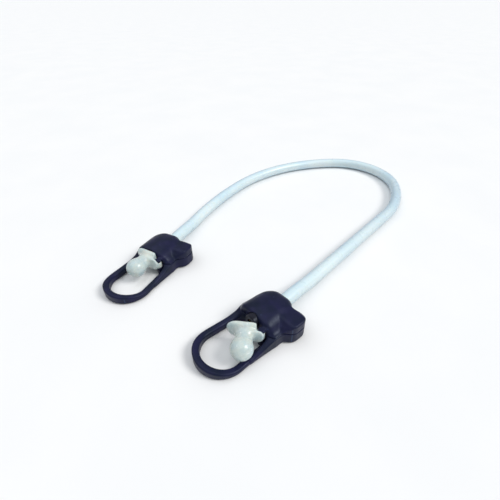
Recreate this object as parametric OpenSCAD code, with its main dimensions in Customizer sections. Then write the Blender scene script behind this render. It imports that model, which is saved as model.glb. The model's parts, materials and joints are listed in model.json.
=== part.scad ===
// Short two-core adapter lead with a pull-loop fitting at each end.
// Every fitting is a clamshell hub with a coaxial port, a hinged weather cap and a moulded loop.
// Origin: underside of the near hub, below its centre. +Z up, +X towards the bend, +Y towards the far end.

/* [Cord] */
// Outside diameter of the cord's jacket
cord_d = 8; // [7.4:0.2:8.4]
// Straight run of the cord behind the near hub
near_run = 129; // [110:1:150]
// Straight run of the cord in front of the far hub
far_run = 37; // [36:1:60]
// Radius of the tightest bend
bend_r = 42.3; // [36:0.1:50]
// Angle between the cord and the loop's centre line at each hub
exit_angle = 6; // [0:0.5:10]

/* [Loop] */
// Outside radius of the loop's round end
loop_r = 14.1; // [13.5:0.1:16]
// Distance from the hub centre to the centre of the loop's round end
loop_reach = 36.6; // [36:0.2:44]
// Width of the loop's band
band_w = 3.6; // [3:0.1:3.8]
// Height of the loop's band
band_h = 3.1; // [2.6:0.1:3.1]

/* [Hub] */
// Half width of the hub
hub_half_w = 13; // [12.6:0.1:14]
// Height of the hub at its crown
hub_h = 14.8; // [14.8:0.1:15.6]
// Wall thickness of the two shells
wall = 1.8; // [1.6:0.1:2]
// How far the side shoulder reaches from the centre line
shoulder_reach = 18.8; // [18:0.1:20]

/* [Port and cap] */
// Height of the port's axis above the resting plane
port_z = 8.8; // [8.8:0.05:9]
// Bore radius of the near socket's contacts
socket_bore_r = 2; // [1.9:0.01:2.05]
// Radius of the far plug's contacts
plug_pin_r = 1.95; // [1.85:0.01:1.95]
// Radius of the cap's pull ball
ball_r = 5.6; // [5:0.1:5.6]
// Angle that the near cap stands open at rest
near_cap_open = 42; // [0:1:90]

/* [Hidden] */
$fn = 64;

eps = 0.01;                 // cutters pass a face by this much
big = 80;                   // larger than any fitting
lap = 0.3;                  // pieces of one sweep run this far into the next
slim_by = 0.02;             // and every other piece is this much thinner
seam_gap = 0.1;             // two arcs in a row stand this far apart, joined by a thinner piece
seat_gap = 0.05;            // clearance between parts that only rest on each other
pivot_gap = 0.05;           // radial clearance of the cap on its hinge pin

// hub
hub_back = -5;              // hub spans from here
hub_front = 16.6;           // to its flat port face
back_corner_r = 10.5;       // plan radius of the two back corners
parting_z = 7;              // plane where the two shells meet
parting_gap = 0.02;
crown_u = 8;                // crown of the dome along the hub
crown_r_along = 24;         // radius of the dome along the hub
crown_r_across = 15;        // radius of the dome across the hub

// loop
band_corner_r = 2.05;       // rounds the corners of the band's section
band_root = 15;             // the band starts inside the hub's front wall

// shoulder
shoulder_back = -4.2;
shoulder_front = 9.6;
shoulder_h = 12;
shoulder_front_cut = 3;     // chamfers of its profile
shoulder_back_cut = 2.2;
shoulder_low_cut = 1;
shoulder_corner_r = 5.5;    // plan radius of its two outer corners
shoulder_root = 4;          // distance from the centre line where it starts, inside the hub

// cord inside the hub
cord_r = cord_d / 2;
cord_hub_z = 5.6;           // height of the cord where it leaves a hub
sag_start = 10;             // distance from the hub centre where the cord starts to come down
sag_run = 26;               // length of the way down to the resting plane
sag_drop = cord_hub_z - cord_r;
sag_angle = 2 * atan(sag_drop / (sag_run + seam_gap));
sag_r = (sag_run - seam_gap * cos(sag_angle)) / (2 * sin(sag_angle));
core_gap = 1.9;             // centre line of each core, off the cord's own
core_r = 1.55;
conductor_r = 1;
core_play = 0.05;
jacket_start = 1.4;         // distances behind the hub centre
core_start = -0.5;
conductor_start = -3.5;
bends = [[86, 35], [bend_r, 100], [118, 51.5], [245, 14.5]];   // radius and angle of each arc in turn
splay = 10.5;               // the near loop points this far off the X axis

// cord gland, as distances behind the hub centre
collar_from = 1;
bush_from = 2.2;
bush_step = 3.1;            // the bush's flange ends here, against the back wall
bush_to = 5.4;
bush_r = 4.8;
bush_neck_r = 4.55;

// contact carrier, as distances in front of the hub centre
carrier_r = 3.9;
carrier_back = 6.5;
contact_room = 2.5;         // the space for the contacts' solder ends starts here
carrier_tip = 18.8;
carrier_chamfer = 0.5;
flange_r = 4.7;
flange_from = 8;
flange_to = 10;
saddle_from = 7;
saddle_to = 11;
saddle_half_w = 6.4;

// socket contacts
contact_wall = 0.7;
contact_r = 2.7;            // outside of the rear contact
tip_from = 6.5;
tip_to = 12.5;
ring_from = 15;
ring_to = 18;
ring_r = 3;
strip_v = 3.4;              // outer side of the strip that feeds the front contact
strip_t = 0.5;
strip_h = 2;
strip_from = 4.6;

// solder cups
cup_r = 1.6;
cup_bore_r = 1.05;
cup_depth = 3.4;
cup_from = 1;
cup_short = 5.2;
cup_long = 6;
cup_back = 5.6;             // back face of the contacts' discs
cup_gap = 0.3;              // the plug's tip cup stops this far short of its collar's face
tab_t = 0.7;                // upright tab between a cup and the port's axis

// plug
well_r = 3.1;
well_from = 8;
plug_tip = 17.6;
plug_split = 14.8;          // the plug's front and rear contacts meet here
plug_gap = 0.4;
plug_core_r = 0.9;
plug_root_r = 2.3;          // the sleeve contact is this wide inside the carrier
insulator_r = 1.25;
plug_play = 0.02;           // clearance between the plug's nested parts
tip_collar_r = 1.1;

// cap and its hinge
hinge_u = 18.5;
hinge_v = 8;
hinge_pin_r = 0.7;
knuckle_r = 1.7;
knuckle_web = 2.8;
knuckle_lo = 2.6;
knuckle_hi = 10.7;
pin_floor = 0.6;
cap_knuckle_lo = 5.4;
cap_knuckle_hi = 9;
knuckle_gap = 0.2;
cap_back = 17;
cap_half_w = 9.2;
cap_half_h = 5.2;
cap_hinge_edge = 5.6;       // the plate stops here, short of the hub's knuckles
cap_crown_t = 3.6;
cap_crown_r = 26;
cap_web_t = 2.6;
cap_recess_r = 4.6;
cap_recess_to = 19.9;
seal_t = 0.8;
seal_bore_r = 3;
stem_from = 19.3;
stem_to = 25;
stem_r = 5;
waist_r = 4.1;
waist_curve = 3;
waist_u = 23.4;
ball_u = 28.8;

// screws
screw_r = 1.25;
screw_head_r = 2.4;
screw_head_h = 1.5;
screw_socket_r = 1.3;
screw_socket_h = 0.9;
screw_top = 9.6;
screw_end_gap = 0.3;
boss_r = 2.45;
screw_spots = [[10.4, -8.6], [2.2, -8.4], [2.6, 13], [10.2, 8.2]];

// plan of the cord: [x, y, heading] after a straight run or an arc to the left
function run_on(p, l) = [p[0] + l * cos(p[2]), p[1] + l * sin(p[2]), p[2]];
function turn_left(p, r, a) = [
    p[0] + r * (sin(p[2] + a) - sin(p[2])),
    p[1] - r * (cos(p[2] + a) - cos(p[2])),
    p[2] + a
];
function after_bends(p, i = 0) = i == len(bends) ? p :
    after_bends(run_on(turn_left(p, bends[i][0], bends[i][1]), seam_gap), i + 1);

near_heading = exit_angle - splay;
far_pose = run_on(after_bends(run_on([0, 0, near_heading], near_run)), far_run);
far_azimuth = far_pose[2] - exit_angle;

module at_near() rotate([0, 0, 180 - splay]) children();
module at_far() translate([far_pose[0], far_pose[1], 0]) rotate([0, 0, far_azimuth]) children();
// frame of the cord at a hub: +X runs from the hub centre out of the back
module at_exit() rotate([0, 0, 180 + exit_angle]) translate([0, 0, cord_hub_z]) children();
module at_port() translate([0, 0, port_z]) rotate([0, 90, 0]) children();
module swing(angle) translate([hinge_u, hinge_v, 0]) rotate([0, 0, angle]) translate([-hinge_u, -hinge_v, 0]) children();

// ---------- hub form, shrunk by t for the hollow inside ----------

module hub_plan(t) {
    r = back_corner_r - t;
    back = hub_back + t;
    half = hub_half_w - t;
    translate([back + r, -half]) square([hub_front - t - back - r, 2 * half]);
    translate([back, -half + r]) square([2 * r, 2 * (half - r)]);
    for (s = [-1, 1]) translate([back + r, s * (half - r)]) circle(r);
}

module hub_form(t) {
    intersection() {
        translate([0, 0, t]) linear_extrude(hub_h) hub_plan(t);
        translate([crown_u, 0, hub_h - crown_r_along]) rotate([90, 0, 0])
            cylinder(r = crown_r_along - t, h = big, center = true);
        translate([0, 0, hub_h - crown_r_across]) rotate([0, 90, 0])
            cylinder(r = crown_r_across - t, h = big, center = true);
    }
}

module shoulder_plan(t) {
    r = shoulder_corner_r - t;
    back = shoulder_back + t;
    front = shoulder_front - t;
    reach = shoulder_reach - t;
    translate([back, shoulder_root]) square([front - back, reach - r - shoulder_root]);
    translate([back + r, shoulder_root]) square([front - back - 2 * r, reach - shoulder_root]);
    for (u = [back + r, front - r]) translate([u, reach - r]) circle(r);
}

module shoulder_form(t) intersection() {
    b = shoulder_back + t;
    f = shoulder_front - t;
    lo = t;
    hi = shoulder_h - t;
    linear_extrude(shoulder_h) shoulder_plan(t);
    translate([0, big / 2, 0]) rotate([90, 0, 0]) linear_extrude(big / 2)
        polygon([[b + shoulder_low_cut, lo], [f - shoulder_low_cut, lo], [f, lo + shoulder_low_cut],
                 [f, hi - shoulder_front_cut], [f - shoulder_front_cut, hi],
                 [b + shoulder_back_cut, hi], [b, hi - shoulder_back_cut], [b, lo + shoulder_low_cut]]);
}

module hub_shell() {
    difference() {
        union() { hub_form(0); shoulder_form(0); }
        hub_form(wall);
        shoulder_form(wall);
    }
}

// ---------- loop ----------

module band_profile(slim) intersection() {
    square([band_w - 2 * slim, band_h - 2 * slim], center = true);
    circle(band_corner_r - slim);
}

// two straight sides that run just into the round end
module loop_band() {
    centre_r = loop_r - band_w / 2;
    root_v = hub_half_w - band_w / 2;
    run = loop_reach - band_root;
    reach = norm([run, root_v]);
    slant = asin(centre_r / reach) - atan2(root_v, run);
    side = sqrt(reach * reach - centre_r * centre_r);
    translate([0, 0, band_h / 2]) {
        for (m = [0, 1]) mirror([0, m, 0])
            translate([band_root, root_v, 0]) rotate([90, 0, 90 + slant])
                linear_extrude(side + lap) band_profile(slim_by);
        translate([loop_reach, 0, 0]) rotate([0, 0, -90 - slant])
            rotate_extrude(angle = 180 + 2 * slant) translate([centre_r, 0]) band_profile(0);
    }
}

// ---------- parts of one fitting ----------

module screw_holes() {
    for (p = screw_spots) translate([p[0], p[1], 0]) {
        translate([0, 0, -eps]) cylinder(r = screw_head_r + seat_gap, h = screw_head_h + seat_gap);
        cylinder(r = screw_r + seat_gap, h = screw_top + screw_end_gap);
    }
}

// what both shells hold inside: screw bosses and the saddle round the contact carrier
module inner_ribs() intersection() {
    union() {
        hub_form(wall / 2);
        shoulder_form(wall / 2);
    }
    union() {
        for (p = screw_spots) translate([p[0], p[1], 0]) cylinder(r = boss_r, h = hub_h);
        translate([saddle_from, -saddle_half_w, 0]) cube([saddle_to - saddle_from, 2 * saddle_half_w, hub_h]);
    }
}

// what both shells leave free: carrier, cord gland, screws and hinge pin
module inner_spaces() {
    at_port() {
        translate([0, 0, contact_room]) cylinder(r = carrier_r + seat_gap, h = hub_front);
        translate([0, 0, flange_from - seat_gap])
            cylinder(r = flange_r + seat_gap, h = flange_to - flange_from + 2 * seat_gap);
    }
    at_exit() rotate([0, 90, 0]) translate([0, 0, collar_from]) {
        cylinder(r = bush_neck_r + seat_gap, h = bush_to);
        cylinder(r = bush_r + seat_gap, h = bush_step - collar_from + seat_gap);
    }
    screw_holes();
    translate([hinge_u, hinge_v, knuckle_lo + pin_floor])
        cylinder(r = hinge_pin_r, h = knuckle_hi - knuckle_lo - 2 * pin_floor);
}

module knuckle(z_lo, z_hi) {
    translate([hinge_u, hinge_v, z_lo]) cylinder(r = knuckle_r, h = z_hi - z_lo);
    translate([hub_front - 1, hinge_v - knuckle_web / 2, z_lo])
        cube([hinge_u - hub_front + 1, knuckle_web, z_hi - z_lo]);
}

module half_hub(z_lo, z_hi) {
    intersection() {
        union() {
            hub_shell();
            inner_ribs();
        }
        translate([-big / 2, -big / 2, z_lo]) cube([big, big, z_hi - z_lo]);
    }
}

module grip_frame() color("#1c1d2b") difference() {
    union() {
        half_hub(0, parting_z);
        loop_band();
        knuckle(0, cap_knuckle_lo - knuckle_gap);
    }
    inner_spaces();
}

module hub_cover() color("#1f2030") difference() {
    union() {
        half_hub(parting_z + parting_gap, hub_h);
        knuckle(cap_knuckle_hi + knuckle_gap, knuckle_hi);
    }
    inner_spaces();
}

module housing_screws() color("#9a9ca2") for (p = screw_spots) translate([p[0], p[1], 0]) difference() {
    union() {
        translate([0, 0, seat_gap]) cylinder(r = screw_head_r, h = screw_head_h - seat_gap);
        translate([0, 0, seat_gap]) cylinder(r = screw_r, h = screw_top);
    }
    cylinder(r = screw_socket_r, h = screw_socket_h, $fn = 6);
}

module cord_bush() color("#15151c") at_exit() rotate([0, 90, 0]) difference() {
    union() {
        translate([0, 0, bush_from]) cylinder(r = bush_r, h = bush_step - bush_from);
        translate([0, 0, bush_from]) cylinder(r = bush_neck_r, h = bush_to - bush_from);
    }
    cylinder(r = cord_r + seat_gap, h = bush_to + 1);
}

module stop_collar() color("#b8bcc4") at_exit() rotate([0, 90, 0]) difference() {
    translate([0, 0, collar_from]) cylinder(r = bush_neck_r, h = bush_from - collar_from - seat_gap);
    cylinder(r = cord_r + seat_gap, h = bush_to);
}

module carrier_body() {
    cylinder(r = carrier_r, h = carrier_tip - carrier_back - carrier_chamfer);
    translate([0, 0, carrier_tip - carrier_back - carrier_chamfer])
        cylinder(r1 = carrier_r, r2 = carrier_r - carrier_chamfer, h = carrier_chamfer);
    translate([0, 0, flange_from - carrier_back]) cylinder(r = flange_r, h = flange_to - flange_from);
}

// hole along the port's axis, between two places on it
module port_bore(r, from, to) at_port() translate([0, 0, from]) cylinder(r = r, h = to - from);

module strip_box(gap) translate([strip_from, strip_v - strip_t - gap, port_z - strip_h / 2 - gap])
    cube([ring_from + lap - strip_from, strip_t + 2 * gap, strip_h + 2 * gap]);

module socket_carrier() color("#16161e") difference() {
    port_bore_body();
    port_bore(contact_r + seat_gap, carrier_back - 1, tip_to + seat_gap);
    port_bore(socket_bore_r, carrier_back, carrier_tip + 1);
    port_bore(ring_r + seat_gap, ring_from - seat_gap, ring_to + seat_gap);
    strip_box(seat_gap);
}

module port_bore_body() at_port() translate([0, 0, carrier_back]) carrier_body();

module plug_carrier() color("#16161e") difference() {
    port_bore_body();
    port_bore(plug_root_r + seat_gap, carrier_back - 1, well_from + 1);
    port_bore(well_r, well_from, carrier_tip + 1);
}

// solder cup behind the carrier, side is -1 or 1, reaching to a distance in front of the hub centre
module solder_cup(side, reach) at_exit() translate([-reach, side * core_gap, 0]) rotate([0, 90, 0]) difference() {
    cylinder(r = cup_r, h = reach - cup_from);
    translate([0, 0, reach - cup_from - cup_depth]) cylinder(r = cup_bore_r, h = cup_depth + 1);
}

// upright tab from a cup's centre to the port's axis, between two sides, flush with the cup's front end
module tab(side_lo, side_hi, front) translate([front - tab_t, side_lo, cord_hub_z])
    cube([tab_t, side_hi - side_lo, port_z - cord_hub_z]);

module socket_tip_contact() color("#c9a24a") {
    difference() {
        port_bore(contact_r, cup_back, tip_to);
        port_bore(socket_bore_r, tip_from, tip_to + 1);
    }
    solder_cup(1, cup_long);
}

module socket_ring_contact() color("#c9a24a") {
    difference() {
        port_bore(ring_r, ring_from, ring_to);
        port_bore(socket_bore_r, ring_from - 1, ring_to + 1);
    }
    difference() {
        strip_box(0);
        port_bore(socket_bore_r + contact_wall / 2, ring_from - 1, ring_to + 1);
    }
    solder_cup(-1, cup_short);
    tab(strip_v - strip_t, strip_v, cup_short);
}

module plug_tip_contact() color("#c9a24a") {
    port_bore(plug_core_r, cup_short - 1, plug_tip - 1);
    port_bore(tip_collar_r, cup_short - 1, cup_short);
    port_bore(plug_pin_r, plug_split + plug_gap, plug_tip);
    solder_cup(1, cup_short - cup_gap);
    tab(-core_gap, -tip_collar_r / 2, cup_short - cup_gap);
}

module plug_insulator() color("#e8e6df") difference() {
    union() {
        port_bore(insulator_r, cup_short, plug_split);
        port_bore(plug_pin_r, plug_split, plug_split + plug_gap);
    }
    port_bore(plug_core_r + plug_play, cup_short - 1, plug_split + plug_gap + 1);
}

module plug_sleeve_contact() color("#c9a24a") {
    difference() {
        union() {
            port_bore(plug_pin_r, cup_back, plug_split);
            port_bore(plug_root_r, cup_back, well_from);
            port_bore(contact_r, cup_back, carrier_back - seat_gap);
        }
        port_bore(insulator_r + plug_play, cup_back - 1, plug_split + 1);
    }
    difference() {
        solder_cup(-1, cup_long);
        port_bore(insulator_r + plug_play, cup_back - 2, plug_split);
    }
}

module cap_hinge_pin() color("#b8bcc4") translate([hinge_u, hinge_v, knuckle_lo + pin_floor + seat_gap])
    cylinder(r = hinge_pin_r, h = knuckle_hi - knuckle_lo - 2 * pin_floor - 2 * seat_gap);

// ---------- weather cap, drawn closed ----------

module cap_plate() intersection() {
    translate([cap_back, 0, port_z]) rotate([90, 0, 90]) linear_extrude(cap_crown_t) {
        intersection() {
            union() {
                square([2 * (cap_half_w - cap_half_h), 2 * cap_half_h], center = true);
                for (s = [-1, 1]) translate([s * (cap_half_w - cap_half_h), 0]) circle(cap_half_h);
            }
            translate([-cap_half_w, -cap_half_h]) square([cap_half_w + cap_hinge_edge, 2 * cap_half_h]);
        }
    }
    translate([cap_back + cap_crown_t - cap_crown_r, 0, port_z]) sphere(r = cap_crown_r);
}

module cap_stem() at_port() translate([0, 0, stem_from]) rotate_extrude() difference() {
    square([stem_r, stem_to - stem_from]);
    translate([waist_r + waist_curve, waist_u - stem_from]) circle(waist_curve);
}

module port_cap() color("#cfdfe0") difference() {
    union() {
        cap_plate();
        cap_stem();
        translate([ball_u, 0, port_z]) sphere(r = ball_r);
        translate([hinge_u, hinge_v, cap_knuckle_lo])
            cylinder(r = knuckle_r, h = cap_knuckle_hi - cap_knuckle_lo);
        translate([cap_back, cap_hinge_edge - 1, cap_knuckle_lo])
            cube([cap_web_t, hinge_v - cap_hinge_edge + 1, cap_knuckle_hi - cap_knuckle_lo]);
    }
    port_bore(cap_recess_r, cap_back - 1, cap_recess_to);
    translate([hinge_u, hinge_v, 0]) cylinder(r = hinge_pin_r + pivot_gap, h = hub_h);
}

module cap_seal() color("#2b2c33") difference() {
    port_bore(cap_recess_r - seat_gap, cap_recess_to - seal_t, cap_recess_to - eps);
    port_bore(seal_bore_r, cap_recess_to - 2 * seal_t, cap_recess_to + 1);
}

// ---------- cord ----------

module straight_piece(l) translate([-lap, 0, 0]) rotate([90, 0, 90]) linear_extrude(l + 2 * lap) children();

// arc to the left about an axis that is rolled over by roll degrees
module arc_piece(r, a, roll) {
    rotate([roll, 0, 0]) translate([0, r, 0]) rotate([0, 0, -90])
        rotate_extrude(angle = a) translate([r, 0]) mirror([1, 0]) rotate(-roll) children();
}

module past_arc(r, a, roll) rotate([roll, 0, 0]) translate([r * sin(a), r * (1 - cos(a)), 0])
    rotate([0, 0, a]) rotate([-roll, 0, 0]) children();

// each step is [length, 0, 0] for a straight run or [radius, angle, roll] for an arc;
// straight steps overlap both neighbours and are slim_by thinner, which children read as $slim
module follow(steps, i = 0) {
    if (i < len(steps)) {
        s = steps[i];
        $slim = s[1] == 0 ? slim_by : 0;
        if (s[1] == 0) {
            straight_piece(s[0]) children();
            translate([s[0], 0, 0]) follow(steps, i + 1) children();
        } else {
            arc_piece(s[0], s[1], s[2]) children();
            past_arc(s[0], s[1], s[2]) follow(steps, i + 1) children();
        }
    }
}

module along_cord(start) {
    seam = [seam_gap, 0, 0];
    down = [[sag_r, sag_angle, -90], seam, [sag_r, sag_angle, 90]];
    up = [[sag_r, sag_angle, 90], seam, [sag_r, sag_angle, -90]];
    steps = concat(
        [[sag_start - start, 0, 0]], down, [[near_run - sag_start - sag_run, 0, 0]],
        [for (b = bends) each [[b[0], b[1], 0], seam]],
        [[far_run - sag_start - sag_run, 0, 0]], up, [[sag_start - start, 0, 0]]
    );
    rotate([0, 0, near_heading]) translate([start, 0, cord_hub_z]) follow(steps) children();
}

module cord_jacket() color("#cfe0ea") along_cord(jacket_start) difference() {
    circle(cord_r - $slim);
    for (s = [-1, 1]) translate([s * core_gap, 0]) circle(core_r + seat_gap + $slim);
}

module core(side) along_cord(core_start) translate([side * core_gap, 0]) difference() {
    circle(core_r - $slim);
    circle(conductor_r + core_play + $slim);
}

module conductor(side) color("#b5713c") along_cord(conductor_start)
    translate([side * core_gap, 0]) circle(conductor_r - $slim);

// ---------- assembly ----------

at_near() grip_frame();  // near_grip_frame
at_near() hub_cover();  // near_hub_cover
at_near() housing_screws();  // near_housing_screws
at_near() cord_bush();  // near_cord_bush
at_near() stop_collar();  // near_stop_collar
at_near() socket_carrier();  // near_contact_carrier
at_near() socket_tip_contact();  // near_tip_contact
at_near() socket_ring_contact();  // near_ring_contact
at_near() cap_hinge_pin();  // near_cap_hinge_pin
at_near() swing(near_cap_open) port_cap();  // near_port_cap
at_near() swing(near_cap_open) cap_seal();  // near_cap_seal
at_far() grip_frame();  // far_grip_frame
at_far() hub_cover();  // far_hub_cover
at_far() housing_screws();  // far_housing_screws
at_far() cord_bush();  // far_cord_bush
at_far() stop_collar();  // far_stop_collar
at_far() plug_carrier();  // far_contact_carrier
at_far() plug_tip_contact();  // far_tip_contact
at_far() plug_insulator();  // far_plug_insulator
at_far() plug_sleeve_contact();  // far_sleeve_contact
at_far() cap_hinge_pin();  // far_cap_hinge_pin
at_far() port_cap();  // far_port_cap
at_far() cap_seal();  // far_cap_seal
cord_jacket();
color("#b32020") core(1);  // positive_core
color("#202020") core(-1);  // negative_core
conductor(1);  // positive_conductor
conductor(-1);  // negative_conductor
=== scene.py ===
"""Looks of a short adapter lead: moulded shells, weather caps, the bent cord, materials, light and camera."""

import json
import math

import bmesh
import bpy
import numpy as np
from mathutils import Matrix, Vector


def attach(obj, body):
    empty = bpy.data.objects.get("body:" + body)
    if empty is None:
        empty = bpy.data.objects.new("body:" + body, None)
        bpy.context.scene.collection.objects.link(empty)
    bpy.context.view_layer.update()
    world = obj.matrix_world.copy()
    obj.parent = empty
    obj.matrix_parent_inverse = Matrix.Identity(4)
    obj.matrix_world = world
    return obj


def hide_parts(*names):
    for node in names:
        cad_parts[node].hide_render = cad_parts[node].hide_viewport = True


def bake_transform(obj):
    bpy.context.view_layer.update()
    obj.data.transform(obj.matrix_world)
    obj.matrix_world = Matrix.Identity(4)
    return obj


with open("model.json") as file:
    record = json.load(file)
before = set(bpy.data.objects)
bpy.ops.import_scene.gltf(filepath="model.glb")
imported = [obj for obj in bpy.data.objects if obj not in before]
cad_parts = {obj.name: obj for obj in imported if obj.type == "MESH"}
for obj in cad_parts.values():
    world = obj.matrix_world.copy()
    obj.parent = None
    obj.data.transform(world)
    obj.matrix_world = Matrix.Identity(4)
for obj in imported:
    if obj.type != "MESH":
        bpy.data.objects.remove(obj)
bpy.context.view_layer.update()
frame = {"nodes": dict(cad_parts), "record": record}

MM = 0.001

# ---------- sizes of the lead, in millimetres, as in the part ----------

HUB_BACK, HUB_FRONT, HUB_HALF, HUB_TOP = -5.0, 16.6, 13.0, 14.8
CROWN_U, CROWN_R_ALONG, CROWN_R_ACROSS = 8.0, 24.0, 15.0
PARTING = 7.0
WALL = 1.8
SHOULDER_BACK, SHOULDER_FRONT, SHOULDER_REACH, SHOULDER_TOP = -4.2, 9.6, 18.8, 12.0
LOOP_REACH, LOOP_R, BAND_W, BAND_H = 36.6, 14.1, 3.6, 3.1
PORT_Z = 8.8
HINGE_U, HINGE_V, PIN_R, KNUCKLE_R = 18.5, 8.0, 0.7, 1.7
CAP_LOW, CAP_HIGH = 5.4, 9.0            # height range of the cap's own knuckle
KNUCKLE_TOP = 10.7                      # top of the hub cover's knuckle
CAP_BACK = 17.0
BALL_U, BALL_R, WAIST_R = 28.8, 5.6, 4.3
NEAR_CAP_OPEN = 42.0                    # degrees, in the rest pose
SCREWS = ((10.4, -8.6), (2.2, -8.4), (2.6, 13.0), (10.2, 8.2))

CORD_R = 4.0
NEAR_RUN, FAR_RUN = 129.0, 37.0
BENDS = ((86.0, 35.0), (42.3, 100.0), (118.0, 51.5), (245.0, 14.5))   # radius, degrees
SEAM = 0.1                              # straight run after each bend
EXIT_ANGLE, SPLAY = 6.0, 10.5
CORD_HUB_Z = 5.6
SAG_START, SAG_RUN = 10.0, 26.0
JACKET_START, CORE_START, WIRE_START = 1.1, -0.5, -3.5
CORE_SIDE, CORE_R, CORE_BORE_R, WIRE_R = 1.9, 1.55, 1.05, 0.97
CORE_GAP = 0.05                         # between a core and the jacket
WIRE_TURN = 30.0                        # a wire's strands turn once in this length

# ---------- spaces that both shells leave free: radius, from, to ----------

CARRIER_ROOM = (4.05, 2.5, 30.0)
CARRIER_RIB_ROOM = (4.85, 7.9, 10.1)
BUSH_ROOM = (4.65, 0.8, 8.0)
COLLAR_ROOM = (4.9, 1.0, 3.2)
SCREW_HEAD_ROOM = (2.55, -5.0, 1.6)
SCREW_SHANK_ROOM = (1.4, -5.0, 10.0)
PIN_ROOM = (PIN_R + 0.05, 3.2, KNUCKLE_TOP - 0.6)

# ---------- ribs inside the shells ----------

BOSS_R = 2.45                           # round each screw
SADDLE = (7.0, -6.4, 0.0), (11.0, 6.4, HUB_TOP)

# ---------- details of the visible shapes, in millimetres ----------

BEYOND = 40.0                           # further out than any surface
BACK_CORNER, FRONT_CORNER = 11.0, 4.0
BACK_EDGE, FRONT_EDGE = 4.0, 2.5        # rounding of the hub's top edge at its back and its front
SLEEVE_HALF, SLEEVE_TOP = 5.6, 11.2     # sleeve round the cord where it leaves the hub
SLEEVE_PAST = 0.4                       # the sleeve ends this far behind the hub
SHOULDER_CORNER = 5.5
CHAMFERS = ((-1, 1, 2.2), (1, 1, 3.0), (-1, -1, 1.0), (1, -1, 1.0))   # back or front, top or bottom, size
NOTCH = (-5.5, 9.2, 2.8)                # upright groove between hub and shoulder: u, v, radius
BAND_ROOT = HUB_FRONT - 1.6
BAND_START = HUB_FRONT - 2.6            # inside the hub
BAND_EDGE = 1.1
BAND_TIP_RISE = 1.9                     # the band is this much higher at the loop's tip
BAND_SIDE_RISE = 1.5                    # and this much higher on the side away from the shoulder
WEB_END, WEB_RUN = 30.0, 15.0           # the web comes down to the band here, over this length
WEB_RISE, WEB_SIDE_DROP = 4.5, 2.4
WEB_INSET, WEB_FLARE = 0.8, 0.9
CHEEK_END = 24.0
SHELL_GAP = 0.06                        # half the gap between the two shells
KNUCKLE_GAP = 0.2
OVAL_FLAT, OVAL_R = 4.0, 5.2            # cap's flange: half its flat run, and the radius of its ends
FLANGE_SIDE = 5.6                       # the flange stops here on the hinge's side
RIM, RIM_RISE = 0.9, 2.6                # flange's thickness at its rim, and its extra in the middle
RIM_V, RIM_Z = 9.2, 6.5                 # the extra thickness fades out over these half widths
SEAL_WELL = (4.6, CAP_BACK - 2, CAP_BACK + 2.9)
LOBE = (HINGE_U + 1.85, 1.0, 4.2), (HINGE_U + 3.1, 9.4, 12.2)
LOBE_V, LOBE_R = 5.0, 4.4
HUB_KNUCKLE_ROOM = KNUCKLE_R + 0.4      # what the cap leaves free round the hub's knuckles
HUB_WEB_ROOM = 3.4                      # and round the webs behind them
HUB_WEB_SIDE = (0.616, -0.788)          # in plan, square to the edge of the side where the webs pass


# ---------- solid fields: negative inside, in millimetres ----------

def blend_min(a, b, r):
    """Union of two fields, with a fillet about r wide."""
    h = np.maximum(r - np.abs(a - b), 0.0) / r
    return np.minimum(a, b) - h * h * r / 4


def blend_max(a, b, r):
    """Intersection of two fields, with an edge rounded over about r."""
    return -blend_min(-a, -b, r)


def slab(x, low, high):
    """Range of one coordinate."""
    return np.maximum(low - x, x - high)


def rounded_box(p, low, high, r):
    """Box between two corners with every edge rounded to r."""
    q = [np.abs(x - (a + b) / 2) - (b - a) / 2 + r for x, a, b in zip(p, low, high)]
    outside = np.sqrt(sum(np.maximum(x, 0.0) ** 2 for x in q))
    return outside + np.minimum(np.maximum(np.maximum(q[0], q[1]), q[2]), 0.0) - r


def upright(p, u, v, r):
    """Cylinder with an upright axis."""
    return np.hypot(p[0] - u, p[1] - v) - r


def exit_axes(u, v):
    """Distances to the side of the cord's line at the hub, and behind the hub's centre along it."""
    turn = math.radians(180 + EXIT_ANGLE)
    return -u * math.sin(turn) + v * math.cos(turn), u * math.cos(turn) + v * math.sin(turn)


def along_port(p, r, start, end):
    """Cylinder on the port's axis."""
    return np.maximum(np.hypot(p[1], p[2] - PORT_Z) - r, slab(p[0], start, end))


def surface_net(field, low, step):
    """Points and quads of the surface where a field sampled on a grid crosses zero."""
    inside = field < 0
    n = np.array(field.shape) - 1
    corners = [np.array((i, j, k)) for i in (0, 1) for j in (0, 1) for k in (0, 1)]
    count = np.zeros(n, np.int8)
    for c in corners:
        count += inside[c[0]:c[0] + n[0], c[1]:c[1] + n[1], c[2]:c[2] + n[2]]
    active = (count > 0) & (count < 8)
    cells = np.argwhere(active)
    total = np.zeros((len(cells), 3))
    hits = np.zeros(len(cells))
    for c in corners:
        for axis in range(3):
            if c[axis]:
                continue
            other = c.copy()
            other[axis] = 1
            fa = field[tuple((cells + c).T)]
            fb = field[tuple((cells + other).T)]
            crosses = (fa < 0) != (fb < 0)
            t = np.where(crosses, fa / np.where(crosses, fa - fb, 1.0), 0.0)
            point = np.tile(c.astype(float), (len(cells), 1))
            point[:, axis] = t
            total += point * crosses[:, None]
            hits += crosses
    points = np.array(low) + (cells + total / hits[:, None]) * step
    number = np.full(n, -1)
    number[active] = np.arange(len(cells))
    quads = []
    for axis in range(3):
        first = np.moveaxis(inside, axis, 0)
        cell_number = np.moveaxis(number, axis, 0)
        i, j, k = np.nonzero((first[:-1] != first[1:])[:, 1:-1, 1:-1])
        ring = [cell_number[i, j + a, k + b] for a, b in ((0, 0), (1, 0), (1, 1), (0, 1))]
        quad = np.stack(ring, axis=1)
        enters = first[i, j + 1, k + 1]
        if axis == 1:
            enters = ~enters
        quad[~enters] = quad[~enters][:, ::-1]
        quads.append(quad)
    return points, np.concatenate(quads)


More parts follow.
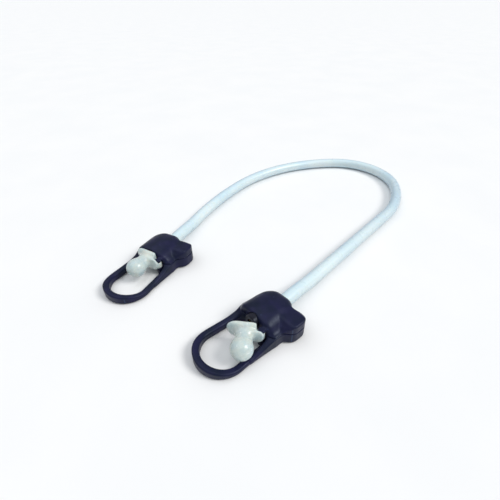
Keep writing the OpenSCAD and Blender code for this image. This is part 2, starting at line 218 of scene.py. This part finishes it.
def solid(name, field, low, high, step, place):
    """Mesh of a field between two corners, put in place by a matrix."""
    axes = [np.arange(a, b + step, step) for a, b in zip(low, high)]
    grid = np.meshgrid(*axes, indexing="ij")
    points, quads = surface_net(field(grid), low, step)
    return mesh_piece(name, points * MM, quads.tolist(), place)


def mesh_piece(name, points, faces, place=Matrix.Identity(4)):
    """Smooth-shaded object made of points and faces in metres."""
    mesh = bpy.data.meshes.new(name)
    mesh.from_pydata([tuple(p) for p in points], [], faces)
    mesh.transform(place)
    mesh.shade_smooth()
    mesh.update()
    piece = bpy.data.objects.new(name, mesh)
    bpy.context.scene.collection.objects.link(piece)
    return piece


# ---------- one fitting: +u from the hub's centre to the loop, +v to the shoulder, +z up ----------

def hub_form(p):
    """Domed hub, upright at its sides and rounded over at every top edge."""
    u, v, z = p
    back = rounded_box(p, (HUB_BACK, -HUB_HALF, -BEYOND), (BEYOND, HUB_HALF, BEYOND), BACK_CORNER)
    front = rounded_box(p, (-BEYOND, -HUB_HALF, -BEYOND), (HUB_FRONT, HUB_HALF, BEYOND), FRONT_CORNER)
    plan = np.maximum(back, front)
    crown_along = np.hypot(u - CROWN_U, z - (HUB_TOP - CROWN_R_ALONG)) - CROWN_R_ALONG
    crown_across = np.hypot(v, z - (HUB_TOP - CROWN_R_ACROSS)) - CROWN_R_ACROSS
    dome = blend_max(crown_along, crown_across, 3.0)
    edge = BACK_EDGE - (BACK_EDGE - FRONT_EDGE) * np.clip((u - 2.0) / 10.0, 0.0, 1.0)
    side, behind = exit_axes(u, v)
    sleeve_low, sleeve_high = (-6.0, -SLEEVE_HALF, -BEYOND), (5.0, SLEEVE_HALF, SLEEVE_TOP)
    sleeve = rounded_box((behind, side, z), sleeve_low, sleeve_high, 3.0)
    body = blend_min(blend_max(plan, dome, edge), sleeve, 4.0)
    return blend_max(np.maximum(body, HUB_BACK - SLEEVE_PAST - u), -z, 1.0)


def shoulder_form(p):
    """Block at the side: chamfered profile, rounded outer corners."""
    u, v, z = p
    low, high = (SHOULDER_BACK, -20.0, -BEYOND), (SHOULDER_FRONT, SHOULDER_REACH, BEYOND)
    block = blend_max(rounded_box(p, low, high, SHOULDER_CORNER), slab(z, 0.0, SHOULDER_TOP), 1.2)
    for side, up, size in CHAMFERS:
        edge_u = SHOULDER_FRONT if side > 0 else SHOULDER_BACK
        edge_z = SHOULDER_TOP if up > 0 else 0.0
        cut = (side * (u - edge_u) + up * (z - edge_z) + size) / math.sqrt(2)
        block = blend_max(block, cut, 0.8)
    return np.maximum(block, 4.0 - v)


def band_line(u, v):
    """Distance from the middle line of the band: straight sides and a round end. Outward is positive."""
    centre_r = LOOP_R - BAND_W / 2
    root_v = HUB_HALF - BAND_W / 2
    run = LOOP_REACH - BAND_ROOT
    slant = math.asin(centre_r / math.hypot(run, root_v)) - math.atan2(root_v, run)
    touch = LOOP_REACH - centre_r * math.sin(slant)
    to_side = (u - BAND_ROOT) * -math.sin(slant) + (np.abs(v) - root_v) * math.cos(slant)
    return np.where(u > touch, np.hypot(u - LOOP_REACH, v) - centre_r, to_side)


def rounded_bar(across, half, z, height, r):
    """Bar of a given half width and height, lying on the resting plane."""
    qa = np.abs(across) - half + r
    qz = np.abs(z - height / 2) - height / 2 + r
    return np.hypot(np.maximum(qa, 0), np.maximum(qz, 0)) + np.minimum(np.maximum(qa, qz), 0) - r


def band_form(p):
    """Flat band, a web up to the hub at each side, and a cheek on the side away from the shoulder."""
    u, v, z = p
    line = band_line(u, v)
    half = BAND_W / 2
    tip = np.clip((u - LOOP_REACH) / LOOP_R, 0.0, 1.0)
    plain_side = np.clip(0.5 - v / 20.0, 0.0, 1.0)      # 0 on the shoulder's side, 1 on the other
    height = BAND_H + BAND_SIDE_RISE * plain_side + BAND_TIP_RISE * tip * tip * (3 - 2 * tip)
    band = np.maximum(rounded_bar(line, half, z, height, BAND_EDGE), BAND_START - u)
    near_hub = np.clip((WEB_END - u) / WEB_RUN, 0.0, 1.0)
    flare = WEB_FLARE * near_hub * (v > 0)
    web_height = BAND_H + (WEB_RISE - WEB_SIDE_DROP * plain_side) * near_hub ** 1.4
    web = rounded_bar(line - WEB_INSET - flare, half - WEB_INSET + flare, z, web_height, 0.9)
    web = blend_max(web, slab(u, HUB_FRONT - 6.0, WEB_END), 0.5)
    cheek_height = 2.0 + 0.4 * np.maximum(26.0 - u, 0.0)
    cheek = rounded_bar(line, half, z, cheek_height, BAND_EDGE)
    cheek = np.maximum(cheek, np.maximum(v, slab(u, BAND_START, CHEEK_END)))
    return blend_min(blend_min(band, web, 1.2), cheek, 1.2)


def knuckles(p, low, high):
    """A hub's hinge knuckle over a height range, with the web that joins it to the hub."""
    u, v, z = p
    barrel = upright(p, HINGE_U, HINGE_V, KNUCKLE_R)
    web = np.maximum(slab(u, HUB_FRONT - 1, HINGE_U), slab(v, HINGE_V - 1.4, HINGE_V + 1.4))
    return blend_max(blend_min(barrel, web, 0.8), slab(z, low, high), 0.5)


def outside_form(p):
    """The whole outer form of a fitting: hub, shoulder, groove and band."""
    body = blend_min(hub_form(p), shoulder_form(p), 1.0)
    body = blend_max(body, -upright(p, *NOTCH), 1.0)
    return blend_max(blend_min(body, band_form(p), 3.0), -p[2], 0.8)


def inside_ribs(p):
    """Screw bosses and the saddle round the contact carrier."""
    ribs = rounded_box(p, *SADDLE, 0.3)
    for u, v in SCREWS:
        ribs = np.minimum(ribs, upright(p, u, v, BOSS_R))
    return ribs


def upright_space(p, u, v, room):
    """Upright round space; room is its radius, bottom and top."""
    r, low, high = room
    return np.maximum(upright(p, u, v, r), slab(p[2], low, high))


def inside_spaces(p):
    """Everything both shells leave free: carrier, cord gland, screws and hinge pin."""
    u, v, z = p
    free = np.minimum(along_port(p, *CARRIER_ROOM), along_port(p, *CARRIER_RIB_ROOM))
    side, behind = exit_axes(u, v)
    round_cord = np.hypot(side, z - CORD_HUB_Z)
    for r, start, end in (BUSH_ROOM, COLLAR_ROOM):
        free = np.minimum(free, np.maximum(round_cord - r, slab(behind, start, end)))
    for screw_u, screw_v in SCREWS:
        free = np.minimum(free, upright_space(p, screw_u, screw_v, SCREW_HEAD_ROOM))
        free = np.minimum(free, upright_space(p, screw_u, screw_v, SCREW_SHANK_ROOM))
    return np.minimum(free, upright_space(p, HINGE_U, HINGE_V, PIN_ROOM))


def shell_form(p):
    """Hollow body of both shells together, with its ribs."""
    skin = np.minimum(hub_form(p), shoulder_form(p))
    hollow = np.maximum(skin + WALL, WALL / 2 - upright(p, *NOTCH))
    ribs = np.maximum(inside_ribs(p), skin + WALL / 2)
    return np.minimum(np.maximum(outside_form(p), -hollow), ribs)


def frame_field(p):
    """Lower shell with the loop and the lower knuckle."""
    lower = blend_max(shell_form(p), p[2] - PARTING + SHELL_GAP, 0.7)
    lower = blend_min(lower, knuckles(p, 0.0, CAP_LOW - KNUCKLE_GAP), 0.6)
    return blend_max(np.maximum(lower, -p[2]), -inside_spaces(p), 0.3)


def cover_field(p):
    """Upper shell with the upper knuckle."""
    upper = blend_max(shell_form(p), PARTING + SHELL_GAP - p[2], 0.7)
    upper = blend_min(upper, knuckles(p, CAP_HIGH + KNUCKLE_GAP, KNUCKLE_TOP), 0.6)
    return blend_max(upper, -inside_spaces(p), 0.3)


# ---------- weather cap, drawn closed ----------

def cap_field(p):
    """Oval flange, waist and ball, with a hinge knuckle at its side and a well for the seal."""
    u, v, z = p
    up = z - PORT_Z
    oval = np.hypot(np.maximum(np.abs(v) - OVAL_FLAT, 0.0), up) - OVAL_R
    middle = np.clip(1.0 - (v / RIM_V) ** 2, 0.0, 1.0) * np.clip(1.0 - (up / RIM_Z) ** 2, 0.0, 1.0)
    plate = blend_max(oval, slab(u, CAP_BACK, CAP_BACK + RIM + RIM_RISE * middle), 0.9)
    plate = blend_max(plate, v - FLANGE_SIDE, 0.8)
    radial = np.hypot(v, up)
    stem = np.maximum(radial - WAIST_R, slab(u, CAP_BACK + 2.0, BALL_U - 1.0))
    ball = np.sqrt((u - BALL_U) ** 2 + radial ** 2) - BALL_R
    body = blend_min(plate, blend_min(stem, ball, 1.6), 2.6)

    to_hinge = np.hypot(u - HINGE_U, v - HINGE_V)
    beside = slab(z, CAP_LOW, CAP_HIGH)
    barrel = np.maximum(to_hinge - KNUCKLE_R, beside)
    arm = rounded_box(p, (CAP_BACK, 4.6, CAP_LOW), (CAP_BACK + 2.6, HINGE_V, CAP_HIGH), 0.3)
    body = blend_min(body, blend_min(barrel, arm, 0.5), 0.8)
    lobe = blend_max(rounded_box(p, *LOBE, 0.6), np.hypot(np.maximum(v - LOBE_V, 0.0), up) - LOBE_R, 0.6)
    body = blend_min(body, lobe, 2.5)

    behind_hinge = HUB_WEB_SIDE[0] * (u - HINGE_U) + HUB_WEB_SIDE[1] * (v - HINGE_V)
    hub_webs = np.maximum(to_hinge - HUB_WEB_ROOM, behind_hinge)
    passing = np.maximum(np.minimum(to_hinge - HUB_KNUCKLE_ROOM, hub_webs), -beside)
    body = np.maximum(body, -passing)
    body = np.maximum(body, -along_port(p, *SEAL_WELL))
    return np.maximum(body, PIN_R + 0.12 - to_hinge)


# ---------- the cord ----------

def path_length():
    """Length of the cord's middle line between the two hubs' centres."""
    return NEAR_RUN + sum(r * math.radians(a) + SEAM for r, a in BENDS) + FAR_RUN


def cord_point(s):
    """Place in plan and heading, at a distance along the cord from the near hub's centre."""
    x = y = 0.0
    heading = math.radians(EXIT_ANGLE - SPLAY)
    steps = [(NEAR_RUN, 0.0)]
    for r, a in BENDS:
        steps += [(r * math.radians(a), 1 / r), (SEAM, 0.0)]
    steps.append((FAR_RUN, 0.0))
    for i, (length, bend) in enumerate(steps):
        go = s if i == len(steps) - 1 else min(s, length)
        if bend:
            turned = heading + go * bend
            x += (math.sin(turned) - math.sin(heading)) / bend
            y -= (math.cos(turned) - math.cos(heading)) / bend
            heading = turned
        else:
            x += go * math.cos(heading)
            y += go * math.sin(heading)
        s -= go
        if s <= 0 and i < len(steps) - 1:
            break
    return x, y, heading


def cord_height(s):
    """The cord leaves a hub high and comes down to the resting plane."""
    from_hub = min(s, path_length() - s)
    t = min(max((from_hub - SAG_START) / SAG_RUN, 0.0), 1.0)
    return CORD_HUB_Z + (CORD_R - CORD_HUB_Z) * t * t * (3 - 2 * t)


def ring_loop(cx, cy, r, sides, lobes=0):
    """Closed loop of points round a centre; lobes makes the outline of that many strands."""
    angles = np.linspace(0, 2 * math.pi, sides, endpoint=False)
    radius = r * (1 - 0.12 * (0.5 - 0.5 * np.cos(lobes * angles))) if lobes else r
    return np.stack((cx + radius * np.cos(angles), cy + radius * np.sin(angles)), axis=1)


def sweep(name, loops, start, step=1.5, twist=None):
    """Carries closed loops along the cord and closes both ends. twist is (centre, millimetres a turn)."""
    end = path_length() - start
    places = np.linspace(start, end, int((end - start) / step) + 1)
    rows = []
    for s in places:
        x, y, heading = cord_point(s)
        slope = (cord_height(s + 0.1) - cord_height(s)) / 0.1
        centre = np.array((x, y, cord_height(s)))
        side = np.array((-math.sin(heading), math.cos(heading), 0.0))
        up = np.array((-slope * math.cos(heading), -slope * math.sin(heading), 1.0))
        up /= np.linalg.norm(up)
        row = []
        for loop in loops:
            section = loop
            if twist:
                turn = 2 * math.pi * s / twist[1]
                c, d = math.cos(turn), math.sin(turn)
                off = section - twist[0]
                across, over = off[:, 0] * c - off[:, 1] * d, off[:, 0] * d + off[:, 1] * c
                section = twist[0] + np.stack((across, over), 1)
            row.append(centre + section[:, :1] * side + section[:, 1:] * up)
        rows.append(np.concatenate(row))
    total = len(rows[0])
    points = np.concatenate(rows) * MM
    faces = []
    first = 0
    for loop in loops:
        n = len(loop)
        for i in range(len(places) - 1):
            for j in range(n):
                a = i * total + first + j
                b = i * total + first + (j + 1) % n
                faces.append((a, b, b + total, a + total))
        first += n
    piece = mesh_piece(name, points, faces)
    layer = piece.data.uv_layers.new(name="along")
    index = np.zeros(len(piece.data.loops), int)
    piece.data.loops.foreach_get("vertex_index", index)
    along = np.repeat(places, total)[index] * MM
    around = np.tile(np.arange(total) / total, len(places))[index]
    layer.data.foreach_set("uv", np.stack((along, around), 1).ravel().astype(np.float32))
    bm = bmesh.new()
    bm.from_mesh(piece.data)
    bmesh.ops.triangle_fill(bm, edges=[e for e in bm.edges if e.is_boundary], use_beauty=True)
    bmesh.ops.recalc_face_normals(bm, faces=bm.faces)
    bm.to_mesh(piece.data)
    bm.free()
    return piece


# ---------- materials ----------

class Look:
    """A material's node tree, with short calls for the nodes it uses."""

    def __init__(self, name):
        self.material = bpy.data.materials.new(name)
        self.material.use_nodes = True
        self.tree = self.material.node_tree
        self.tree.nodes.clear()
        self.shader = self.add("ShaderNodeBsdfPrincipled")
        self.out = self.add("ShaderNodeOutputMaterial")
        self.link(self.shader.outputs[0], self.out.inputs[0])
        self.place = self.add("ShaderNodeTexCoord").outputs["Object"]

    def add(self, kind, **values):
        made = self.tree.nodes.new(kind)
        for key, value in values.items():
            setattr(made, key, value)
        return made

    def link(self, a, b):
        self.tree.links.new(a, b)

    def noise(self, size_mm, detail=3.0, place=None, stretch=None):
        """Noise whose features are about size_mm across."""
        made = self.add("ShaderNodeTexNoise")
        made.inputs["Scale"].default_value = 1 / (size_mm * MM)
        made.inputs["Detail"].default_value = detail
        source = place or self.place
        if stretch:
            mapping = self.add("ShaderNodeMapping")
            mapping.inputs["Scale"].default_value = stretch
            self.link(source, mapping.inputs["Vector"])
            source = mapping.outputs[0]
        self.link(source, made.inputs["Vector"])
        return made.outputs["Fac"]

    def spread(self, fac, low, high, from_low=0.35, from_high=0.65):
        """Turns a 0 to 1 value into a number between two limits."""
        made = self.add("ShaderNodeMapRange")
        made.inputs["From Min"].default_value = from_low
        made.inputs["From Max"].default_value = from_high
        made.inputs["To Min"].default_value = low
        made.inputs["To Max"].default_value = high
        self.link(fac, made.inputs["Value"])
        return made.outputs["Result"]

    def mix(self, fac, a, b):
        """Mixes two colours; each is a colour or another node's output."""
        made = self.add("ShaderNodeMix", data_type="RGBA")
        self.link(fac, made.inputs["Factor"])
        for socket, value in ((made.inputs[6], a), (made.inputs[7], b)):
            if isinstance(value, bpy.types.NodeSocket):
                self.link(value, socket)
            else:
                socket.default_value = (*value, 1.0)
        return made.outputs[2]

    def bump(self, height, strength, depth_mm):
        made = self.add("ShaderNodeBump")
        made.inputs["Strength"].default_value = strength
        made.inputs["Distance"].default_value = depth_mm * MM
        self.link(height, made.inputs["Height"])
        previous = self.shader.inputs["Normal"]
        if previous.is_linked:
            self.link(previous.links[0].from_socket, made.inputs["Normal"])
        self.link(made.outputs[0], previous)

    def edges(self, low, high):
        """0 on flat places, 1 on sharp convex edges."""
        return self.spread(self.add("ShaderNodeNewGeometry").outputs["Pointiness"], 0.0, 1.0, low, high)

    def colour(self, value):
        self.link(value, self.shader.inputs["Base Color"])

    def roughness(self, value):
        self.link(value, self.shader.inputs["Roughness"])

    def set(self, **values):
        for key, value in values.items():
            self.shader.inputs[key.replace("_", " ")].default_value = value


def moulded_plastic(name, dark, light, worn, rough=(0.30, 0.44)):
    """Satin moulded plastic: cloudy colour, fine grain and slightly paler edges."""
    look = Look(name)
    base = look.mix(look.spread(look.noise(7.0), 0.0, 1.0), dark, light)
    look.colour(look.mix(look.edges(0.53, 0.62), base, worn))
    look.roughness(look.spread(look.noise(2.2, 5.0), *rough))
    look.bump(look.noise(0.35, 2.0), 0.10, 0.04)
    look.bump(look.noise(5.0, 1.0), 0.12, 0.2)
    look.set(Specular_IOR_Level=0.2)
    look.shader.inputs["Specular Tint"].default_value = (0.75, 0.85, 1.0, 1.0)
    return look.material


def pale_cap(name):
    """Pale, slightly clear plastic with a soft gloss."""
    look = Look(name)
    tint = look.mix(look.spread(look.noise(6.0), 0.0, 1.0), (0.48, 0.59, 0.61), (0.60, 0.66, 0.61))
    look.colour(look.mix(look.edges(0.53, 0.60), tint, (0.68, 0.74, 0.74)))
    look.roughness(look.spread(look.noise(1.5, 4.0), 0.22, 0.34))
    look.bump(look.noise(0.6, 2.0), 0.06, 0.05)
    look.set(Subsurface_Weight=0.35, Subsurface_Scale=0.003, Coat_Weight=0.25, Coat_Roughness=0.15)
    look.shader.inputs["Subsurface Radius"].default_value = (0.7, 1.0, 1.1)
    return look.material


def cord_vinyl(name):
    """Pale, slightly clear vinyl with faint lines along its length, and painted shade on its sides where they
    turn away from the camera.
    """
    look = Look(name)
    along = look.add("ShaderNodeUVMap", uv_map="along").outputs[0]
    clouds = look.spread(look.noise(30.0, 2.0), 0.0, 1.0)
    tint = look.mix(clouds, (0.60, 0.76, 0.83), (0.70, 0.82, 0.85))
    lines = look.noise(1000.0, 3.0, along, (3.0, 30.0, 1.0))
    tint = look.mix(look.spread(lines, 0.0, 0.12), tint, (0.55, 0.68, 0.82))
    facing = look.add("ShaderNodeLayerWeight")
    facing.inputs["Blend"].default_value = 0.35
    # Painted shade: the cord's sides, where they turn away from the camera, are mixed towards a dark blue.
    sides = look.spread(facing.outputs["Facing"], 0.0, 0.85, 0.25, 0.95)
    look.colour(look.mix(sides, tint, (0.26, 0.36, 0.48)))
    look.roughness(look.spread(look.noise(3.0, 4.0), 0.26, 0.36))
    look.bump(lines, 0.05, 0.05)
    look.set(Subsurface_Weight=0.25, Subsurface_Scale=0.003, Coat_Weight=0.2, Coat_Roughness=0.2)
    look.shader.inputs["Subsurface Radius"].default_value = (0.7, 0.9, 1.2)
    return look.material


def rubber(name, dark, light):
    """Dull rubber with a fine grain."""
    look = Look(name)
    look.colour(look.mix(look.spread(look.noise(3.0), 0.0, 1.0), dark, light))
    look.roughness(look.spread(look.noise(1.2, 4.0), 0.55, 0.75))
    look.bump(look.noise(0.3, 3.0), 0.25, 0.06)
    return look.material


def metal(name, tint, worn, rough):
    """Bare metal with fine turning marks and a few darker patches."""
    look = Look(name)
    patches = look.spread(look.noise(2.5, 4.0), 0.0, 1.0, 0.45, 0.7)
    look.colour(look.mix(patches, tint, worn))
    look.roughness(look.spread(look.noise(0.8, 4.0), *rough))
    look.bump(look.noise(0.25, 2.0, stretch=(1.0, 1.0, 8.0)), 0.15, 0.02)
    look.set(Metallic=1.0)
    return look.material


def smooth_insulation(name, dark, light):
    """Smooth plastic, slightly uneven in colour."""
    look = Look(name)
    look.colour(look.mix(look.spread(look.noise(4.0), 0.0, 1.0), dark, light))
    look.roughness(look.spread(look.noise(1.5, 3.0), 0.35, 0.5))
    look.bump(look.noise(0.4, 2.0), 0.08, 0.04)
    return look.material


NAVIES = (0.006, 0.009, 0.026), (0.012, 0.012, 0.045), (0.025, 0.040, 0.090)      # dark, light, worn
CARRIER_BLACKS = (0.01, 0.01, 0.016), (0.02, 0.02, 0.03), (0.05, 0.05, 0.07)
looks = {
    "grip_plastic": moulded_plastic("grip_plastic", *NAVIES),
    "cover_plastic": moulded_plastic("cover_plastic", *NAVIES),
    "carrier_plastic": moulded_plastic("carrier_plastic", *CARRIER_BLACKS),
    "cap_plastic": pale_cap("cap_plastic"),
    "jacket_vinyl": cord_vinyl("jacket_vinyl"),
    "bush_rubber": rubber("bush_rubber", (0.010, 0.010, 0.014), (0.022, 0.022, 0.030)),
    "seal_rubber": rubber("seal_rubber", (0.018, 0.018, 0.022), (0.035, 0.035, 0.040)),
    "contact_brass": metal("contact_brass", (0.80, 0.60, 0.26), (0.62, 0.42, 0.18), (0.18, 0.34)),
    "copper_wire": metal("copper_wire", (0.80, 0.40, 0.24), (0.55, 0.24, 0.13), (0.25, 0.40)),
    "collar_steel": metal("collar_steel", (0.62, 0.63, 0.65), (0.42, 0.43, 0.45), (0.22, 0.40)),
    "pin_steel": metal("pin_steel", (0.66, 0.67, 0.69), (0.48, 0.49, 0.51), (0.18, 0.30)),
    "screw_steel": metal("screw_steel", (0.40, 0.41, 0.44), (0.24, 0.25, 0.27), (0.25, 0.42)),
    "red_insulation": smooth_insulation("red_insulation", (0.45, 0.015, 0.015), (0.60, 0.03, 0.025)),
    "black_insulation": smooth_insulation("black_insulation", (0.012, 0.012, 0.013), (0.03, 0.03, 0.032)),
    "insulator_plastic": smooth_insulation("insulator_plastic", (0.72, 0.69, 0.60), (0.82, 0.80, 0.73)),
}


def paint(piece, name):
    """Gives a piece its material."""
    piece.data.materials.clear()
    piece.data.materials.append(looks[name])


slot_of = {row["node"]: row["material_slot"] for row in frame["record"]["subparts"]}
for node_name, node in frame["nodes"].items():
    for index in range(len(node.material_slots)):
        node.material_slots[index].material = looks[slot_of[node_name]]

# ---------- build ----------

far_x, far_y, far_heading = cord_point(path_length())
PLACES = {
    "near": Matrix.Rotation(math.radians(180 - SPLAY), 4, "Z"),
    "far": Matrix.Translation((far_x * MM, far_y * MM, 0))
    @ Matrix.Rotation(far_heading - math.radians(EXIT_ANGLE), 4, "Z"),
}
STEP = 0.22      # grid for the solid fields, in millimetres


def cap_swing(angle):
    """Turn about the cap's hinge, in the fitting's own axes."""
    hinge = Vector((HINGE_U * MM, HINGE_V * MM, 0))
    turn = Matrix.Rotation(math.radians(angle), 4, "Z")
    return Matrix.Translation(hinge) @ turn @ Matrix.Translation(-hinge)


def build_fitting(end, open_angle):
    """Both shells and the cap of one end."""
    shells = (
        ("grip_frame", frame_field, (-6.0, -15.5, -0.8), (52.0, 20.0, 7.8), "end"),
        ("hub_cover", cover_field, (-6.0, -15.5, 6.2), (22.0, 20.0, 16.0), "end"),
        ("port_cap", cap_field, (16.0, -10.2, 2.5), (35.4, 11.0, 15.2), "cap"),
    )
    for part, field, low, high, body in shells:
        place = PLACES[end] @ cap_swing(open_angle) if body == "cap" else PLACES[end]
        piece = solid(f"{end}_{part}_form", field, low, high, STEP, place)
        paint(piece, slot_of[f"{end}_{part}"])
        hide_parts(f"{end}_{part}")
        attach(piece, f"{end}_{body}")


build_fitting("near", NEAR_CAP_OPEN)
build_fitting("far", 0.0)


def build_cord():
    """Jacket, two insulated cores and two stranded wires, all bending between the two ends."""
    cores = ((CORE_SIDE, "positive", "red"), (-CORE_SIDE, "negative", "black"))
    jacket = [ring_loop(0, 0, CORD_R, 48)]
    jacket += [ring_loop(side, 0, CORE_R + CORE_GAP, 20) for side in (-CORE_SIDE, CORE_SIDE)]
    made = [(sweep("cord_jacket_form", jacket, JACKET_START), "cord_jacket", "jacket_vinyl")]
    for side, pole, tone in cores:
        core = [ring_loop(side, 0, CORE_R, 20), ring_loop(side, 0, CORE_BORE_R, 14)]
        core_piece = sweep(f"{pole}_core_form", core, CORE_START, 2.0)
        made.append((core_piece, f"{pole}_core", f"{tone}_insulation"))
        wire = [ring_loop(side, 0, WIRE_R, 36, lobes=7)]
        twist = (np.array((side, 0.0)), WIRE_TURN)
        wire_piece = sweep(f"{pole}_conductor_form", wire, WIRE_START, 1.5, twist)
        made.append((wire_piece, f"{pole}_conductor", "copper_wire"))
    for piece, node_name, slot_name in made:
        paint(piece, slot_name)
        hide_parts(node_name)
        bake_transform(piece)


build_cord()

# ---------- floor, light and camera ----------


def sun(name, direction, strength, softness, tint):
    """Soft light from one direction; softness is its width in degrees."""
    data = bpy.data.lights.new(name, "SUN")
    data.energy = strength
    data.angle = math.radians(softness)
    data.color = tint
    lamp = bpy.data.objects.new(name, data)
    lamp.rotation_euler = Vector(direction).to_track_quat("Z", "Y").to_euler()
    bpy.context.scene.collection.objects.link(lamp)


def build_stage():
    """Pale floor, white surroundings, two soft lights and the camera."""
    reach, drop = 40.0, -3e-4
    corners = [(-reach, -reach, drop), (reach, -reach, drop), (reach, reach, drop), (-reach, reach, drop)]
    floor = mesh_piece("floor", corners, [(0, 1, 2, 3)])
    look = Look("floor_paper")
    look.colour(look.mix(look.spread(look.noise(60.0), 0.0, 1.0), (0.86, 0.865, 0.87), (0.88, 0.88, 0.88)))
    look.set(Roughness=0.9, Specular_IOR_Level=0.1)
    floor.data.materials.append(look.material)

    world = bpy.data.worlds.new("studio")
    world.use_nodes = True
    back = world.node_tree.nodes["Background"]
    back.inputs["Color"].default_value = (0.94, 0.97, 1.0, 1.0)
    rays = world.node_tree.nodes.new("ShaderNodeLightPath")
    strength = world.node_tree.nodes.new("ShaderNodeMapRange")     # white to the camera, soft as a light
    strength.inputs["To Min"].default_value = 0.45
    strength.inputs["To Max"].default_value = 1.0
    world.node_tree.links.new(rays.outputs["Is Camera Ray"], strength.inputs["Value"])
    world.node_tree.links.new(strength.outputs["Result"], back.inputs["Strength"])
    bpy.context.scene.world = world

    sun("key", (0.35, -0.75, 0.85), 1.8, 25.0, (1.0, 0.985, 0.96))
    sun("top", (-0.15, 0.30, 1.0), 1.0, 70.0, (0.93, 0.96, 1.0))

    data = bpy.data.cameras.new("camera")
    data.sensor_width = 36.0
    data.lens = 23.34
    data.clip_start = 0.005
    camera = bpy.data.objects.new("camera", data)
    camera.location = (-0.0985, -0.0610, 0.1366)
    camera.rotation_euler = [math.radians(a) for a in (51.39, 0.0, -51.15)]
    bpy.context.scene.collection.objects.link(camera)
    bpy.context.scene.camera = camera
    bpy.context.scene.view_settings.view_transform = "Standard"


build_stage()
